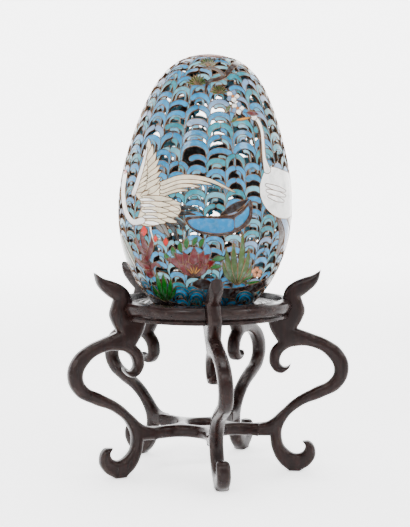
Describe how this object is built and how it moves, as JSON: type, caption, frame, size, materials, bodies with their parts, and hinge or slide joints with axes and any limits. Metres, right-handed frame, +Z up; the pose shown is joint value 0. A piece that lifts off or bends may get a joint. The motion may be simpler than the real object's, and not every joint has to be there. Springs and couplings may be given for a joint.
{
  "type": "enamelled openwork egg on stand",
  "caption": "Hollow openwork enamelled egg resting in a carved dark wood stand, whose scrolled legs carry a round moulded plate and are joined low down by a star-shaped stretcher.",
  "frame": {"origin": "on the surface it stands on, under the middle of its bounding box; the stand's own axis passes 7.3 mm behind it", "axes": "+Z up along the egg and the stand, -Y towards the front leg, +X to the right seen from the front"},
  "size_m": [0.1636, 0.1556, 0.2402],
  "materials": {
    "rosewood": "polished satin",
    "enamel": "gloss"
  },
  "bodies": {
    "root": {"openwork_egg": "enamel", "stand_plate": "rosewood", "stretcher": "rosewood", "leg_front": "rosewood", "leg_front_right": "rosewood", "leg_back_right": "rosewood", "leg_back_left": "rosewood", "leg_front_left": "rosewood"}
  },
  "joints": []
}
